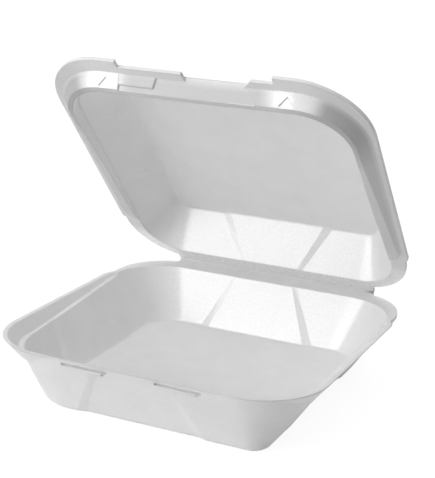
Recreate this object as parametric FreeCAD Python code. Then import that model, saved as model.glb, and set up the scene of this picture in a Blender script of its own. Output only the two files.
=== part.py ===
import FreeCAD, Part
import math
import os

# Foam clamshell container, one sheet of expanded polystyrene pressed into two halves.
# X runs across, Y runs back to the hinge, Z is up. Origin: middle of the tray's underside.

V = FreeCAD.Vector

# Sheet
sheet = 2.5                    # thickness of the foam sheet
edge_radius = 5.0              # outside radius where the floor or the top turns into a wall
bend_steps = 3                 # flat bands round that radius

# Tray
tray_depth = 93.4              # half depth of the tray's underside, before rounding
# plan radii of the main wall's corners: front left, front right, back right, back left
floor_corners = (32.0, 11.0, 26.0, 26.0)
wall_rim_corners = (58.0, 44.0, 44.0, 44.0)
side_draft = 33.5              # lean of the side walls from upright, degrees
front_draft = 21.0             # lean of the front and back walls from upright, degrees
rim_z = 41.7                   # height of the tray's rim
rim_half = 117.5               # half width of the rim
flat_inset = 31.5              # sides of the tray's underside and the lid's top, in from the rim's side
rim_corner = 48.0              # plan radius of the rim's front corners
rim_end = 78.0                 # where the side skirts stop, short of the back corners
rim_end_corner = 18.0          # plan radius of the skirts' ends
skirt_draft = 40.0             # lean of the skirts above the ledge, degrees
ledge_front_z = 33.2           # height of the ledge round the front of the tray
ledge_bend_y = -54.0           # from here back the ledge climbs
ledge_slope = 3.06             # its climb toward the hinge, degrees

# Back ledges and the crease between the halves
crease_y = 125.4               # the crease, back of the origin
crease_z = 42.0                # height of the crease, and of the lid's rim when closed
crease_half = 82.5             # half length of the crease
crease_gap = 0.15              # from the crease line to the end of either ledge
back_inset = 3.7               # back corners of the tray, in from the rim's side
back_corner = 44.0             # plan radius of the back corners of both halves
tray_back_step = 2.8           # from the tray's back edge beside the crease to the crease
lid_back_step = 6.0            # the same on the lid

# Pleated centre panel of every wall: narrow at the rim, wide at the floor
pleat_rim_half = 22.5
pleat_floor_half = 41.0
pleat_rim_ramp = 4.0
pleat_floor_ramp = 7.0
pleat_rim_depth = 0.5
pleat_floor_depth = 2.0

# Latch slots in the front skirt of the tray
slot_centre = 33.8
slot_length = 33.0
slot_z = 38.9                  # middle height of the slots
slot_height = 2.2
slot_lip = 1.3                 # how far the lip under a slot stands out
slot_lip_height = 3.0
slot_lip_inset = 3.0           # each end of a lip from the end of its slot
slot_lip_edge = 0.6            # thickness of the lip's edge

# Lid
lid_height = 32.3              # from the lid's rim to its outside top
lid_draft = 32.6               # lean of the lid's side and back walls from upright, degrees
lid_front_draft = 44.0         # lean of its front wall, degrees
top_back = 93.3                # back edge of the outside top
top_front = 66.5               # front edge of the outside top
top_corner = 13.0              # plan radius of the top's back corners
top_front_corner = 17.0        # plan radius of the front corners at the top
wall_front_corner = 37.65      # the same where the walls meet the rim
plug_lean = 1.0                # lean of the inside below the rim, degrees
plug_fit = 0.5                 # clearance between the plug skirt and the tray's skirt
crest_fit = 0.4                # clearance between the plug's crest and the tray's ledge
crest_end = 70.0               # back of here nothing reaches below the lid's rim
flange_reach = 7.4             # how far the flange's front stands out past the tray's rim
flange_end = 73.4              # where the wide side flange stops
lid_back_inset = 2.5           # back corners of the lid, in from the flange's side

# Front of the lid between the two front corners
front_bay_left = -56.0         # left end of the bay where the flange is cut back
front_bay_right = 57.0         # right end of the bay
bay_recess = 1.6               # how far the plug skirt is set back in the bay
tab_out = 7.2                  # how far the tabs reach out from the set-back skirt
tab_left_end = -7.0            # right end of the left tab
tab_right_start = 32.0         # left end of the right tab
tab_ramp = 9.0                 # length of the ramp up to the right tab
lug_out = 1.4                  # how far the latch lugs stand out of the set-back skirt
lug_left_end = -28.0           # right end of the left lug
lug_right_start = 36.0         # left end of the right lug at its top
lug_slant = 9.0                # how much narrower the right lug is at its foot
lug_drop = 5.5                 # depth of the left lug below the lid's rim
dent_x = 65.7                  # small dents in the foot of the plug skirt beside the bay
dent_half = 5.5
dent_height = 5.0
dent_depth = 0.8

open_angle = 49.0              # how far the lid stands open as modelled, degrees

plug_drop = 12.0               # how far the lid's inside is carried below its rim

front_lean = math.tan(math.radians(front_draft))
skirt_lean = math.tan(math.radians(skirt_draft))
skirt_t = sheet / math.cos(math.radians(skirt_draft))
rim_front = tray_depth + rim_z * front_lean
flat_half = rim_half - flat_inset
ledge_tan = math.tan(math.radians(ledge_slope))
far = 400.0


def outline(z, box, radii, pleat):
    """Closed outline at height z: straight pleated sides joined by corner arcs.

    box is (half x, front y, back y); radii are those of the front left, front right, back right
    and back left corners. It comes back as segments: two points a line, three an arc."""
    half, front, back = box
    front_left, front_right, back_right, back_left = radii
    p_half, p_ramp, p_depth = pleat
    sides = (
        (V(0, front, z), V(1, 0, 0), V(0, 1, 0), half - front_left, half - front_right),
        (V(half, 0, z), V(0, 1, 0), V(-1, 0, 0), -(front + front_right), back - back_right),
        (V(0, back, z), V(-1, 0, 0), V(0, -1, 0), half - back_right, half - back_left),
        (V(-half, 0, z), V(0, -1, 0), V(1, 0, 0), back - back_left, -(front + front_left)),
    )
    centres = ((half - front_right, front + front_right, front_right, -45),
               (half - back_right, back - back_right, back_right, 45),
               (-half + back_left, back - back_left, back_left, 135),
               (-half + front_left, front + front_left, front_left, 225))
    runs = []
    for base, along, inward, before, after in sides:
        stations = [(-before, 0.0), (-p_half - p_ramp, 0.0), (-p_half, p_depth),
                    (p_half, p_depth), (p_half + p_ramp, 0.0), (after, 0.0)]
        runs.append([base + along * s + inward * d for s, d in stations])
    segments = []
    for index, run in enumerate(runs):
        segments.extend(zip(run, run[1:]))
        cx, cy, r, angle = centres[index]
        turn = math.radians(angle)
        middle = V(cx + r * math.cos(turn), cy + r * math.sin(turn), z)
        segments.append((run[-1], middle, runs[(index + 1) % 4][0]))
    return segments


def edge(segment):
    return Part.makeLine(*segment) if len(segment) == 2 else Part.Arc(*segment).toShape()


def band(low, high):
    """Faces between two segments: a cone between arcs, flat faces between lines."""
    if len(low) == 3:
        return Part.makeLoft([Part.Wire([edge(low)]), Part.Wire([edge(high)])], False, True).Faces
    a, b, c, d = low[0], low[1], high[1], high[0]
    normal = (b - a).cross(d - a)
    if abs(normal.dot(c - a)) < 1e-6 * normal.Length:
        return [Part.Face(Part.makePolygon([a, b, c, d, a]))]
    return [Part.Face(Part.makePolygon([a, b, c, a])), Part.Face(Part.makePolygon([a, c, d, a]))]


def loft(sections):
    """Solid through a stack of outlines, from the lowest to the highest."""
    faces = []
    for low, high in zip(sections, sections[1:]):
        for below, over in zip(low, high):
            faces.extend(band(below, over))
    for end in (sections[0], sections[-1]):
        faces.append(Part.Face(Part.Wire([edge(segment) for segment in end])))
    shell = Part.makeShell(faces)
    shell.sewShape()
    solid = Part.makeSolid(shell)
    if solid.Volume < 0:
        solid.reverse()
    return solid


def rounded(x0, x1, y0, y1, z0, z1, radii):
    """Flat plate with corner radii given for front left, front right, back right, back left."""
    corners = ((x0, y0, 1, 1, 225, radii[0]), (x1, y0, -1, 1, -45, radii[1]),
               (x1, y1, -1, -1, 45, radii[2]), (x0, y1, 1, -1, 135, radii[3]))
    points = []
    for x, y, sx, sy, angle, r in corners:
        turn = math.radians(angle)
        centre = V(x + sx * r, y + sy * r, z0)
        first, last = V(x, y + sy * r, z0), V(x + sx * r, y, z0)
        if angle in (-45, 135):
            first, last = last, first
        points.append((first, centre + V(r * math.cos(turn), r * math.sin(turn), 0), last))
    edges = []
    for index, (first, middle, last) in enumerate(points):
        edges.append(Part.Arc(first, middle, last).toShape())
        edges.append(Part.makeLine(last, points[(index + 1) % 4][0]))
    return Part.Face(Part.Wire(edges)).extrude(V(0, 0, z1 - z0))


def block(x0, x1, y0, y1, z0, z1):
    return Part.makeBox(x1 - x0, y1 - y0, z1 - z0, V(x0, y0, z0))


def above_ledge(rise):
    """Everything above the ledge, raised by rise: level at the front, then climbing."""
    z_front = ledge_front_z + rise
    z_back = z_front + (far - ledge_bend_y) * ledge_tan
    side = [V(-far, -far, z_front), V(-far, ledge_bend_y, z_front), V(-far, far, z_back),
            V(-far, far, far), V(-far, -far, far)]
    return Part.Face(Part.makePolygon(side + [side[0]])).extrude(V(2 * far, 0, 0))


def wall_levels(draft, turn_radius, end):
    """Distances from the flat face at which a wall has an outline: round its edge, half way, end."""
    sweep = math.radians(90.0 - draft)
    angles = [sweep * step / bend_steps for step in range(bend_steps + 1)]
    levels = [edge_radius - turn_radius * math.cos(angle) for angle in angles]
    return levels + [(levels[-1] + end) / 2, end]


def wall_offset(depth, draft, turn_radius):
    """How far out a wall's face stands at this depth from the flat face.

    turn_radius is edge_radius for the outside of the sheet, and sheet less for its inside."""
    lean = math.radians(draft)
    if depth < edge_radius - turn_radius * math.sin(lean):
        centre = edge_radius * ((1 - math.sin(lean)) * math.tan(lean) - math.cos(lean))
        return centre + math.sqrt(turn_radius ** 2 - (edge_radius - depth) ** 2)
    return depth * math.tan(lean) - (edge_radius - turn_radius) / math.cos(lean)


def blend(a, b, k):
    return a + (b - a) * k


def pleat_at(k):
    """Pleat sizes at fraction k of the way from the floor (0) to the rim (1)."""
    return (blend(pleat_floor_half, pleat_rim_half, k),
            blend(pleat_floor_ramp, pleat_rim_ramp, k),
            blend(pleat_floor_depth, pleat_rim_depth, k))


def tray_wall(inside):
    """Solid bounded by the tray's main wall, its outside or its inside face."""
    turn = edge_radius - sheet if inside else edge_radius
    sections = []
    for z in wall_levels(front_draft, turn, rim_z + (edge_radius if inside else 0.0)):
        grow = wall_offset(z, front_draft, turn)
        box = (flat_half + wall_offset(z, side_draft, turn), -tray_depth - grow, tray_depth + grow)
        inset = grow - z * front_lean
        k = z / rim_z
        radii = [blend(low, high, k) + inset for low, high in zip(floor_corners, wall_rim_corners)]
        sections.append(outline(z, box, radii, pleat_at(k)))
    return loft(sections)


def skirt(offset, z_top):
    """Solid bounded by the tray's outer skirt face moved in by offset."""
    sections = []
    for z in (ledge_front_z - sheet - 1.0, z_top):
        grow = (z - rim_z) * skirt_lean - offset
        box = (rim_half + grow, -rim_front - grow, rim_end + grow)
        front, end = rim_corner + grow, rim_end_corner + grow
        sections.append(outline(z, box, (front, front, end, end), (pleat_rim_half, pleat_rim_ramp, 0.0)))
    return loft(sections)


def back_plate(half, step, z):
    """Flat ledge round the back corners, with the tongue that runs to the crease."""
    y_back = crease_y - step
    y_front = rim_end / 2
    plate = rounded(-half, half, y_front, y_back, z, z + sheet, (1.0, 1.0, back_corner, back_corner))
    tongue = block(-crease_half, crease_half, rim_end, crease_y - crease_gap, z, z + sheet)
    return plate.fuse(tongue)


def latch_slot(x_middle):
    """Slot through the front wall and the lip pushed out below it."""
    x0 = x_middle - slot_length / 2
    z_lip = slot_z - slot_height / 2
    z_low = z_lip - slot_lip_height
    y_lip = -tray_depth - z_lip * front_lean
    y_low = -tray_depth - z_low * front_lean
    x_lip = x0 + slot_lip_inset
    profile = [V(x_lip, y_low + sheet / 2, z_low), V(x_lip, y_lip - slot_lip, z_lip - slot_lip_edge),
               V(x_lip, y_lip - slot_lip, z_lip), V(x_lip, y_lip + sheet / 2, z_lip)]
    lip_length = slot_length - 2 * slot_lip_inset
    lip = Part.Face(Part.makePolygon(profile + [profile[0]])).extrude(V(lip_length, 0, 0))
    cut = block(x0, x0 + slot_length, y_lip - 2 * sheet, y_lip + 2 * sheet, z_lip, z_lip + slot_height)
    return lip, cut


def tray_shape():
    body = tray_wall(False)
    body = body.fuse(skirt(0.0, rim_z).common(above_ledge(-sheet)))
    body = body.fuse(back_plate(rim_half - back_inset, tray_back_step, rim_z - sheet))
    body = body.cut(tray_wall(True).fuse(skirt(skirt_t, rim_z + edge_radius).common(above_ledge(0.0))))
    for side in (-1, 1):
        lip, cut = latch_slot(side * slot_centre)
        body = body.fuse(lip).cut(cut)
    return body.removeSplitter()


def lid_wall(inside):
    """Solid bounded by the lid's main wall as it lies when closed, carried down inside the plug."""
    turn = edge_radius - sheet if inside else edge_radius
    sections = []
    for depth in wall_levels(lid_draft, turn, lid_height) + [lid_height + plug_drop]:
        wall_depth = min(depth, lid_height)
        below_rim = (depth - wall_depth) * math.tan(math.radians(plug_lean))
        grow = wall_offset(wall_depth, lid_draft, turn) + below_rim
        front_grow = wall_offset(wall_depth, lid_front_draft, turn) + below_rim
        z = crease_z + lid_height - depth
        k = wall_depth / lid_height
        box = (flat_half + grow, -top_front - front_grow, top_back + grow)
        inset = grow - wall_depth * math.tan(math.radians(lid_draft))
        front, end = blend(top_front_corner, wall_front_corner, k) + inset, top_corner + grow
        sections.append(outline(z, box, (front, front, end, end), pleat_at(k)))
    return loft(sections[::-1])


def in_bay(shape):
    bay = block(front_bay_left, front_bay_right, -far, -rim_front / 2, 0, far)
    return shape.common(bay), shape.cut(bay)


def plug(offset):
    """Plug skirt solid: it follows the inside of the tray's skirt and is set back in the front bay."""
    z_top = crease_z + 3 * sheet
    outside_bay = in_bay(skirt(offset, z_top))[1]
    set_back = in_bay(skirt(offset + bay_recess, z_top))[0]
    return outside_bay.fuse(set_back)


def flange():
    """Flange round the lid's rim, cut back in the front bay except for the two tabs."""
    z0, z1 = crease_z, crease_z + sheet
    wide = rounded(-rim_half, rim_half, -rim_front - flange_reach, flange_end, z0, z1,
                   (rim_corner, rim_corner, 3.0, 3.0))
    root = -(rim_front - skirt_t - plug_fit - bay_recess)
    wide = wide.cut(block(front_bay_left, front_bay_right, -far, root, z0 - 1, z1 + 1))
    tab_y = root - tab_out
    left = [V(front_bay_left - 1, root + 2, z0), V(front_bay_left - 1, tab_y, z0),
            V(tab_left_end - 1.5, tab_y, z0), V(tab_left_end, root + 2, z0)]
    right = [V(tab_right_start, root + 2, z0), V(tab_right_start + tab_ramp, tab_y, z0),
             V(front_bay_right + 1, tab_y, z0), V(front_bay_right + 1, root + 2, z0)]
    for tab in (left, right):
        wide = wide.fuse(Part.Face(Part.makePolygon(tab + [tab[0]])).extrude(V(0, 0, sheet)))
    return wide.fuse(back_plate(rim_half - lid_back_inset, lid_back_step, z0))


def front_prism(points):
    """Prism through the front skirt from a list of x and height pairs."""
    face = Part.Face(Part.makePolygon([V(x, -far, z) for x, z in points + [points[0]]]))
    return face.extrude(V(0, far - rim_front / 2, 0))


def lid_shape():
    above_crest = above_ledge(crest_fit)
    fit = skirt_t + plug_fit
    behind = block(-far, far, crest_end, far, 0, crease_z)
    main = lid_wall(False).common(above_crest).cut(behind)
    skirt_part = plug(fit).common(above_crest)
    skirt_part = skirt_part.common(block(-far, far, -far, far, 0, crease_z + sheet))
    body = main.fuse(skirt_part).fuse(flange())
    groove = plug(fit + skirt_t).common(above_ledge(crest_fit + sheet)).cut(main)
    body = body.cut(groove)
    z_foot = ledge_front_z - 1
    left_lug = front_prism([(front_bay_left, crease_z + 1), (front_bay_left, crease_z - lug_drop),
                            (lug_left_end - 2, crease_z - lug_drop), (lug_left_end, crease_z + 1)])
    right_lug = front_prism([(lug_right_start, crease_z + 1), (lug_right_start + lug_slant, z_foot),
                             (front_bay_right, z_foot), (front_bay_right, crease_z + 1)])
    set_back = fit + bay_recess
    lug_ring = skirt(set_back - lug_out, crease_z + 1).cut(skirt(set_back + 1.0, crease_z + 2))
    lug_ring = lug_ring.common(above_crest)
    for lug in (left_lug, right_lug):
        body = body.fuse(lug_ring.common(lug))
    dent_ring = skirt(fit - 1.0, crease_z + 1).cut(skirt(fit + dent_depth, crease_z + 2))
    z_dent = ledge_front_z + crest_fit + 1.0
    for side in (-1, 1):
        x = side * dent_x
        dent = front_prism([(x - dent_half, z_dent), (x + dent_half, z_dent), (x, z_dent + dent_height)])
        body = body.cut(dent_ring.common(dent))
    body = body.cut(lid_wall(True))
    return body.removeSplitter()


os.makedirs("parts", exist_ok=True)

tray = tray_shape()
lid = lid_shape()
lid.rotate(V(0, crease_y, crease_z), V(-1, 0, 0), open_angle)

for name, shape in (("tray", tray), ("lid", lid)):
    print(name, shape.isValid(), len(shape.Solids), round(shape.Volume), shape.BoundBox)
    shape.exportStep("parts/" + name + ".step")
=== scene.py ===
import math

import bmesh
import bpy
from mathutils import Matrix, Vector


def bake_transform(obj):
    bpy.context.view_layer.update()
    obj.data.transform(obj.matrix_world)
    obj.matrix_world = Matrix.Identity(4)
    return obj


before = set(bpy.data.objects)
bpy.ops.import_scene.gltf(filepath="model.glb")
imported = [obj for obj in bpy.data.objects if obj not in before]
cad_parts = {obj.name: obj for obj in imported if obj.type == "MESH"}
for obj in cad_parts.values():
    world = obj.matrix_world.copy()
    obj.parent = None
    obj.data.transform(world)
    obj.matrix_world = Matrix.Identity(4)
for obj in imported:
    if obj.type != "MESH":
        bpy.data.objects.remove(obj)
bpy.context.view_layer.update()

# Tray: the lower half of the container, pressed from one sheet of white expanded polystyrene.
# The press leaves a fine beaded skin all over it, and polishes the back wall, which comes out
# of the tool last, so that it shines where the other walls are dull. Polished faces are also painted
# a little whiter, a painted highlight.
skin_white = (0.94, 0.94, 0.94, 1.0)
skin_shade = (0.91, 0.91, 0.91, 1.0)
# Polished foam is painted a little whiter than the rest: a painted highlight on top of its real gloss.
polish_and_highlight_white = (0.97, 0.97, 0.97, 1.0)
# Painted shade for the lid's plug skirt, and darker painted shade round its two corners.
plug_painted_shade = (0.70, 0.70, 0.70, 1.0)
corner_painted_shade = (0.50, 0.50, 0.50, 1.0)
bead_size = 0.0011
grains_per_metre = 2600.0
flecks_per_metre = 900.0
clouds_per_metre = 55.0
matt_roughness = 0.58
polished_roughness = 0.22
edge_softness = 0.0013
tray_back_facing = (0.0, -0.925, 0.381)


def foam_skin(name, polished_walls, polished_spots=(), painted_shade_side=None):
    """White beaded foam skin: polished and painted whiter (a painted highlight) in places, painted
    darker (painted shade) in others.

    polished_walls lists (facing, side, distance): faces that look that way, past a plane.
    polished_spots lists (facing, centre, reach): faces that look that way, near a point.
    The last argument is (side, distance, corners): faces that look that way past a plane are painted
    darker, a painted shade, darkest round the corner points."""
    material = bpy.data.materials.new(name)
    material.use_nodes = True
    nodes, links = material.node_tree.nodes, material.node_tree.links
    nodes.clear()
    output = nodes.new("ShaderNodeOutputMaterial")
    foam = nodes.new("ShaderNodeBsdfPrincipled")
    foam.inputs["Specular IOR Level"].default_value = 0.6
    foam.inputs["Coat Roughness"].default_value = 0.2
    foam.inputs["Coat IOR"].default_value = 1.85
    links.new(foam.outputs["BSDF"], output.inputs["Surface"])
    place = nodes.new("ShaderNodeTexCoord")

    def ramp(value, start, end):
        rise = nodes.new("ShaderNodeMapRange")
        rise.inputs["From Min"].default_value = start
        rise.inputs["From Max"].default_value = end
        links.new(value, rise.inputs["Value"])
        return rise.outputs["Result"]

    def measured(operation, source, vector, output_name):
        measure = nodes.new("ShaderNodeVectorMath")
        measure.operation = operation
        measure.inputs[1].default_value = vector
        links.new(place.outputs[source], measure.inputs[0])
        return measure.outputs[output_name]

    def combined(operation, first, second):
        combine = nodes.new("ShaderNodeMath")
        combine.operation = operation
        links.new(first, combine.inputs[0])
        links.new(second, combine.inputs[1])
        return combine.outputs["Value"]

    def toned(blend_type, factor, first, second):
        tone = nodes.new("ShaderNodeMix")
        tone.data_type = "RGBA"
        tone.blend_type = blend_type
        for socket, value in (("Factor", factor), ("A", first), ("B", second)):
            if isinstance(value, bpy.types.NodeSocket):
                links.new(value, tone.inputs[socket])
            else:
                tone.inputs[socket].default_value = value
        return tone.outputs["Result"]

    beads = nodes.new("ShaderNodeTexVoronoi")
    beads.feature = "SMOOTH_F1"
    beads.inputs["Scale"].default_value = 1.0 / bead_size
    beads.inputs["Smoothness"].default_value = 0.6
    grain = nodes.new("ShaderNodeTexNoise")
    grain.inputs["Scale"].default_value = grains_per_metre
    grain.inputs["Detail"].default_value = 3.0
    clouds = nodes.new("ShaderNodeTexNoise")
    clouds.inputs["Scale"].default_value = clouds_per_metre
    clouds.inputs["Detail"].default_value = 4.0
    flecks = nodes.new("ShaderNodeTexNoise")
    flecks.inputs["Scale"].default_value = flecks_per_metre
    flecks.inputs["Detail"].default_value = 2.0
    for texture in (beads, grain, clouds, flecks):
        links.new(place.outputs["Object"], texture.inputs["Vector"])

    rough = nodes.new("ShaderNodeMapRange")
    rough.inputs["To Min"].default_value = matt_roughness
    rough.inputs["To Max"].default_value = polished_roughness
    fade = 0.01
    places = [(facing, ramp(measured("DOT_PRODUCT", "Object", side, "Value"), distance, distance + fade))
              for facing, side, distance in polished_walls]
    places += [(facing, ramp(measured("DISTANCE", "Object", centre, "Value"), reach, reach * 0.45))
               for facing, centre, reach in polished_spots]
    polish_and_highlight = None
    for facing, near in places:
        turned = ramp(measured("DOT_PRODUCT", "Normal", facing, "Value"), 0.58, 0.96)
        wall = combined("MULTIPLY", turned, near)
        polish_and_highlight = combined("MAXIMUM", polish_and_highlight, wall) if polish_and_highlight else wall
    colour = toned("MIX", ramp(clouds.outputs["Fac"], 0.30, 0.62), skin_shade, skin_white)
    # Painted shade: faces past the plane that look along the side are painted darker, darkest round the
    # corner points.
    if painted_shade_side:
        side, distance, corners = painted_shade_side
        past = ramp(measured("DOT_PRODUCT", "Object", side, "Value"),
                    distance - 0.002, distance + 0.0025)
        looking = ramp(measured("DOT_PRODUCT", "Normal", side, "Value"), 0.2, 0.5)
        painted_shade_colour = plug_painted_shade
        for corner in corners:
            painted_shade_colour = toned("MIX", ramp(measured("DISTANCE", "Object", corner, "Value"), 0.042, 0.015),
                              painted_shade_colour, corner_painted_shade)
        painted_shade_mask = combined("SUBTRACT", combined("MULTIPLY", past, looking), polish_and_highlight)
        colour = toned("MIX", painted_shade_mask, colour, painted_shade_colour)
    polish_and_highlight = ramp(combined("ADD", polish_and_highlight, flecks.outputs["Fac"]), 0.86, 1.62)
    links.new(polish_and_highlight, rough.inputs["Value"])
    links.new(polish_and_highlight, foam.inputs["Coat Weight"])
    # Painted highlight: where polished, the colour is painted whiter as well as made glossy.
    colour = toned("MIX", polish_and_highlight, colour, polish_and_highlight_white)
    colour = toned("MULTIPLY", 0.06, colour, beads.outputs["Distance"])
    links.new(colour, foam.inputs["Base Color"])
    links.new(rough.outputs["Result"], foam.inputs["Roughness"])

    soft_edge = nodes.new("ShaderNodeBevel")
    soft_edge.samples = 6
    soft_edge.inputs["Radius"].default_value = edge_softness
    bead_bump = nodes.new("ShaderNodeBump")
    bead_bump.inputs["Strength"].default_value = 0.35
    bead_bump.inputs["Distance"].default_value = 0.00012
    links.new(beads.outputs["Distance"], bead_bump.inputs["Height"])
    links.new(soft_edge.outputs["Normal"], bead_bump.inputs["Normal"])
    grain_bump = nodes.new("ShaderNodeBump")
    grain_bump.inputs["Strength"].default_value = 0.25
    grain_bump.inputs["Distance"].default_value = 0.00005
    links.new(grain.outputs["Fac"], grain_bump.inputs["Height"])
    links.new(bead_bump.outputs["Normal"], grain_bump.inputs["Normal"])
    links.new(grain_bump.outputs["Normal"], foam.inputs["Normal"])
    return material


def clad(piece, material):
    piece.data.materials.clear()
    piece.data.materials.append(material)


# The back wall's polish is real gloss, and its whiter colour is a painted highlight.
tray_skin = foam_skin("tray_foam_skin", [(tray_back_facing, (0.0, 1.0, 0.0), 0.06)])
clad(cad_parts["tray"], tray_skin)

# Lid: the shallow upper half, pressed in the same foam sheet. Its back wall, its back ledge and
# the two front corners of its plug skirt are polished, and painted whiter there as a painted highlight.
# The plug skirt and the flange are painted darker, a painted shade, darkest at the plug's two corners.
lid_open = math.radians(49.0)
crease = Vector((0.0, 0.1254, 0.042))


def on_lid(x, out, over):
    """Point of the standing lid: out from the crease along its rim, over its rim plane."""
    c, s = math.cos(lid_open), math.sin(lid_open)
    return Vector((x, crease.y - out * c + over * s, crease.z + out * s + over * c))


def lid_facing(x, out, over):
    """Direction on the standing lid, given as on_lid gives a point."""
    return (on_lid(x, out, over) - crease).normalized()


back_facing = lid_facing(0.0, 0.8425, -0.5388)
plug_facing = lid_facing(0.0, 0.766, -0.643)
lid_down = lid_facing(0.0, 0.0, -1.0)
toward_crease = lid_facing(0.0, -0.7071, -0.7071)
plug_polish_reach = 0.024
plug_corners = [on_lid(x, 0.207, -0.004) for x in (-0.096, 0.096)]
# Painted highlight on the polished back wall, ledge and plug corners; painted shade on the plug skirt,
# darkest at its corners.
lid_skin = foam_skin(
    "lid_foam_skin",
    [(back_facing, toward_crease, on_lid(0.0, 0.060, 0.030).dot(toward_crease)),
     (lid_down, toward_crease, on_lid(0.0, 0.042, 0.0).dot(toward_crease))],
    [(plug_facing, on_lid(x, 0.231, -0.005), plug_polish_reach) for x in (-0.070, 0.069)],
    (lid_down, crease.dot(lid_down), plug_corners))
clad(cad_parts["lid"], lid_skin)

# Crease: where the sheet is squeezed to a thin web along the back, it bends and joins the
# two halves. It is the same foam, pressed nearly solid. The path runs across the web, from the
# tray's back ledge round the fold to the lid's.
web_half = 0.0822
web_thickness = 0.0007
web_steps = 24
web_path = [Vector((0.0, 0.1236, 0.0411)), Vector((0.0, 0.1250, 0.0413)), Vector((0.0, 0.1256, 0.0418)),
            on_lid(0.0, 0.0001, 0.0003), on_lid(0.0, 0.0006, 0.0005), on_lid(0.0, 0.0019, 0.0007)]
web_mesh = bmesh.new()
line = [web_mesh.verts.new(point - Vector((web_half, 0.0, 0.0))) for point in web_path]
edges = [web_mesh.edges.new(pair) for pair in zip(line, line[1:])]
for step in range(web_steps):
    swept = bmesh.ops.extrude_edge_only(web_mesh, edges=edges)
    moved = [item for item in swept["geom"] if isinstance(item, bmesh.types.BMVert)]
    edges = [item for item in swept["geom"] if isinstance(item, bmesh.types.BMEdge)
             and all(vert in moved for vert in item.verts)]
    bmesh.ops.translate(web_mesh, verts=moved, vec=(2.0 * web_half / web_steps, 0.0, 0.0))
bmesh.ops.recalc_face_normals(web_mesh, faces=web_mesh.faces)
bmesh.ops.solidify(web_mesh, geom=web_mesh.faces[:], thickness=web_thickness)
bmesh.ops.recalc_face_normals(web_mesh, faces=web_mesh.faces)
crease_data = bpy.data.meshes.new("crease_web")
web_mesh.to_mesh(crease_data)
web_mesh.free()
crease_data.shade_smooth()
crease_web = bpy.data.objects.new("crease_web", crease_data)
bpy.context.scene.collection.objects.link(crease_web)
# Its upward faces are glossy and painted whiter, a painted highlight.
clad(crease_web, foam_skin("crease_foam_skin", [((0.0, 0.0, 1.0), (0.0, 1.0, 0.0), 0.0)]))
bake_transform(crease_web)

# Table: a plain white sheet of matt paper under the container, laid flat. The container stands
# on it, and it fades to full white away from the shadow.
table_half = 6.0
table_drop = 0.0002


def seen_rays(nodes, links):
    """Fraction that is 1 for rays that see the backdrop itself, and 0 for light that spreads."""
    ray = nodes.new("ShaderNodeLightPath")
    seen = ray.outputs["Is Camera Ray"]
    for kind in ("Is Glossy Ray", "Is Transmission Ray"):
        either = nodes.new("ShaderNodeMath")
        either.operation = "MAXIMUM"
        links.new(seen, either.inputs[0])
        links.new(ray.outputs[kind], either.inputs[1])
        seen = either.outputs["Value"]
    return seen


table_mesh = bmesh.new()
bmesh.ops.create_grid(table_mesh, x_segments=1, y_segments=1, size=table_half)
bmesh.ops.translate(table_mesh, verts=table_mesh.verts[:], vec=(0.0, 0.0, -table_drop))
table_data = bpy.data.meshes.new("table")
table_mesh.to_mesh(table_data)
table_mesh.free()
table = bpy.data.objects.new("table", table_data)
bpy.context.scene.collection.objects.link(table)
table_paint = bpy.data.materials.new("table_white")
table_paint.use_nodes = True
nodes, links = table_paint.node_tree.nodes, table_paint.node_tree.links
nodes.clear()
output = nodes.new("ShaderNodeOutputMaterial")
sheet_white = nodes.new("ShaderNodeBsdfDiffuse")
sheet_white.inputs["Color"].default_value = (0.9, 0.9, 0.9, 1.0)
seen_white = nodes.new("ShaderNodeBsdfDiffuse")
seen_white.inputs["Color"].default_value = (0.22, 0.22, 0.22, 1.0)
glow = nodes.new("ShaderNodeEmission")
far_away = nodes.new("ShaderNodeVectorMath")
far_away.operation = "LENGTH"
links.new(nodes.new("ShaderNodeTexCoord").outputs["Object"], far_away.inputs[0])
fade = nodes.new("ShaderNodeMapRange")
fade.inputs["From Min"].default_value = 0.25
fade.inputs["From Max"].default_value = 1.2
fade.inputs["To Min"].default_value = 0.90
fade.inputs["To Max"].default_value = 1.0
links.new(far_away.outputs["Value"], fade.inputs["Value"])
links.new(fade.outputs["Result"], glow.inputs["Strength"])
seen = nodes.new("ShaderNodeAddShader")
links.new(seen_white.outputs["BSDF"], seen.inputs[0])
links.new(glow.outputs["Emission"], seen.inputs[1])
choose = nodes.new("ShaderNodeMixShader")
links.new(seen_rays(nodes, links), choose.inputs["Fac"])
links.new(sheet_white.outputs["BSDF"], choose.inputs[1])
links.new(seen.outputs["Shader"], choose.inputs[2])
links.new(choose.outputs["Shader"], output.inputs["Surface"])
clad(table, table_paint)

# Light: a dim white room and four soft boxes. Two stand at the front left, one low and one high,
# one behind the container and one at its right.
world = bpy.data.worlds.new("white_room")
bpy.context.scene.world = world
world.use_nodes = True
nodes, links = world.node_tree.nodes, world.node_tree.links
nodes.clear()
output = nodes.new("ShaderNodeOutputWorld")
room = nodes.new("ShaderNodeBackground")
room.inputs["Strength"].default_value = 0.12
backdrop = nodes.new("ShaderNodeBackground")
backdrop.inputs["Strength"].default_value = 1.0
for surroundings in (room, backdrop):
    surroundings.inputs["Color"].default_value = (1.0, 1.0, 1.0, 1.0)
choose = nodes.new("ShaderNodeMixShader")
links.new(seen_rays(nodes, links), choose.inputs["Fac"])
links.new(room.outputs["Background"], choose.inputs[1])
links.new(backdrop.outputs["Background"], choose.inputs[2])
links.new(choose.outputs["Shader"], output.inputs["Surface"])


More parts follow.
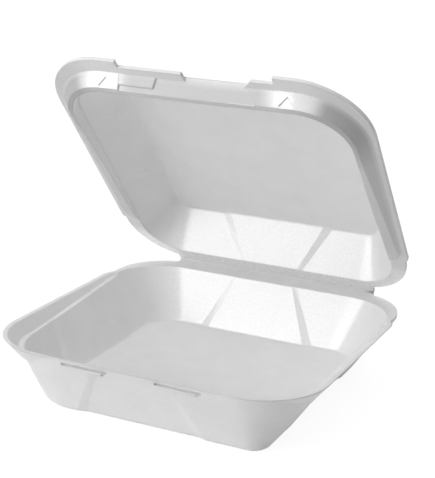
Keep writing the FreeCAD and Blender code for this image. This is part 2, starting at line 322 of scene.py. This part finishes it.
def soft_box(name, azimuth, elevation, distance, width, height, radiance):
    """Rectangular lamp facing the container: angles in degrees, brightness as seen from there."""
    lamp = bpy.data.lights.new(name, "AREA")
    lamp.shape = "RECTANGLE"
    lamp.size = width
    lamp.size_y = height
    lamp.energy = radiance * math.pi * width * height
    holder = bpy.data.objects.new(name, lamp)
    turn, rise = math.radians(azimuth), math.radians(elevation)
    aim = Vector((0.0, 0.0, 0.09))
    out = Vector((math.sin(turn) * math.cos(rise), -math.cos(turn) * math.cos(rise), math.sin(rise)))
    holder.location = aim + out * distance
    holder.rotation_euler = out.to_track_quat("Z", "Y").to_euler()
    bpy.context.scene.collection.objects.link(holder)


soft_box("front_low_box", -35.0, 14.0, 1.5, 1.0, 0.85, 2.6)
soft_box("front_high_box", -30.0, 52.0, 1.5, 1.0, 0.85, 3.4)
soft_box("back_box", 180.0, 50.0, 1.6, 1.4, 1.2, 1.9)
soft_box("right_box", 80.0, 50.0, 1.6, 1.4, 1.2, 0.5)

# Camera: a plain camera on a stand at the front right. Its place and focal length in pixels are
# worked out from the lines of the rim, the crease and the floor.
azimuth, elevation, roll = math.radians(24.9985), math.radians(16.3798), math.radians(1.8188)
aim = Vector((0.02528, -0.03718, 0.11677))
away = 0.84557
focal_pixels = 1292.84
image_pixels = 478.0
back = Vector((math.sin(azimuth) * math.cos(elevation), -math.cos(azimuth) * math.cos(elevation),
               math.sin(elevation)))
level = Vector((math.cos(azimuth), math.sin(azimuth), 0.0))
upright = back.cross(level)
right = level * math.cos(roll) + upright * math.sin(roll)
up = upright * math.cos(roll) - level * math.sin(roll)
view = bpy.data.cameras.new("photo_view")
view.sensor_width = 36.0
view.lens = focal_pixels * view.sensor_width / image_pixels
view.clip_start = 0.05
camera = bpy.data.objects.new("photo_view", view)
attitude = Matrix((right, up, back)).transposed().to_4x4()
camera.matrix_world = Matrix.Translation(aim + back * away) @ attitude
bpy.context.scene.collection.objects.link(camera)
bpy.context.scene.camera = camera
bpy.context.scene.view_settings.view_transform = "Standard"
